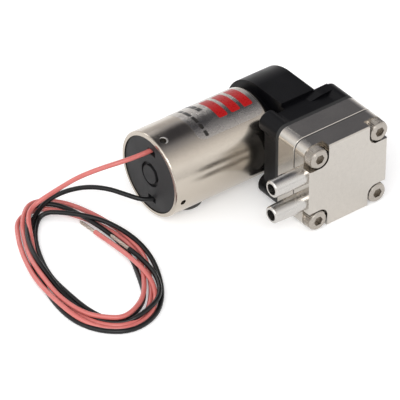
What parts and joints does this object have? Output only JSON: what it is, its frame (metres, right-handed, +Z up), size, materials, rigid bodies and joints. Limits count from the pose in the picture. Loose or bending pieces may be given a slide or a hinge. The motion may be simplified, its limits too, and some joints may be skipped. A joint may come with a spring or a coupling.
{
  "type": "diaphragm vacuum pump",
  "caption": "Small diaphragm vacuum pump: round DC motor, side crankcase, square steel head with two hose barbs, flying leads.",
  "frame": {"origin": "on the surface the pump stands on, under the middle of the box round the pump without its leads", "axes": "+X along the motor shaft from the rear cap to the crank, +Y from the head towards the motor, +Z up"},
  "size_m": [0.0966, 0.0619, 0.0262],
  "materials": {
    "machined_steel": "machined stainless steel, satin",
    "screw_steel": "stainless steel, bright",
    "rubber": "matte moulded rubber",
    "black_plastic": "glass-filled moulding, satin",
    "grey_plastic": "moulded, matte",
    "nickel_plate": "drawn steel, bright nickel plate",
    "brass": "turned",
    "bearing_steel": "ground steel",
    "core_steel": "stamped electrical steel, varnished",
    "magnet": "pressed ferrite",
    "copper": "enamelled or bare copper",
    "carbon": "pressed carbon",
    "red_pvc": "soft PVC, semi-gloss",
    "black_pvc": "soft PVC, semi-gloss"
  },
  "bodies": {
    "pump_body": {"head_cover": "machined_steel", "valve_plate": "machined_steel", "port_seals": "rubber", "inlet_barb": "machined_steel", "outlet_barb": "machined_steel", "head_screws": "screw_steel", "diaphragm": "rubber", "crankcase": "black_plastic", "crankcase_cover": "black_plastic", "motor_screws": "screw_steel", "motor_can": "nickel_plate", "front_bush": "brass", "rear_bush": "brass", "rear_cap": "grey_plastic", "field_magnets": "magnet", "carbon_brushes": "carbon", "brush_arms": "copper", "rubber_foot": "rubber", "red_lead": "red_pvc", "black_lead": "black_pvc", "lead_coil": "black_pvc"},
    "rotor": {"motor_shaft": "bearing_steel", "armature_core": "core_steel", "armature_windings": "copper", "commutator": "copper", "eccentric": "brass", "set_screw": "screw_steel", "counterweight": "brass", "bearing_inner": "bearing_steel"},
    "rod": {"bearing_outer": "bearing_steel", "bearing_balls": "bearing_steel", "connecting_rod": "black_plastic", "clamp_disc": "machined_steel", "clamp_screw": "screw_steel"},
    "inlet_disc": {"inlet_valve": "rubber"},
    "outlet_disc": {"outlet_valve": "rubber"}
  },
  "joints": [
    {"name": "motor_spin", "type": "hinge", "parent": "pump_body", "child": "rotor", "pos_m": [0.014, 0.00953, 0.013], "axis": [1, 0, 0], "continuous": true},
    {"name": "rod_orbit", "type": "hinge", "parent": "rotor", "child": "rod", "pos_m": [0.014, 0.01052, 0.013], "axis": [1, 0, 0], "continuous": true, "deforming": ["diaphragm"]},
    {"name": "inlet_lift", "type": "slide", "parent": "pump_body", "child": "inlet_disc", "axis": [0, 1, 0], "range_m": [0, 0.0005], "stiffness_N_per_m": 20},
    {"name": "outlet_lift", "type": "slide", "parent": "pump_body", "child": "outlet_disc", "axis": [0, -1, 0], "range_m": [0, 0.0005], "stiffness_N_per_m": 20}
  ],
  "couplings": [
    {"joint": "rod_orbit", "follows": "motor_spin", "ratio": -1}
  ]
}
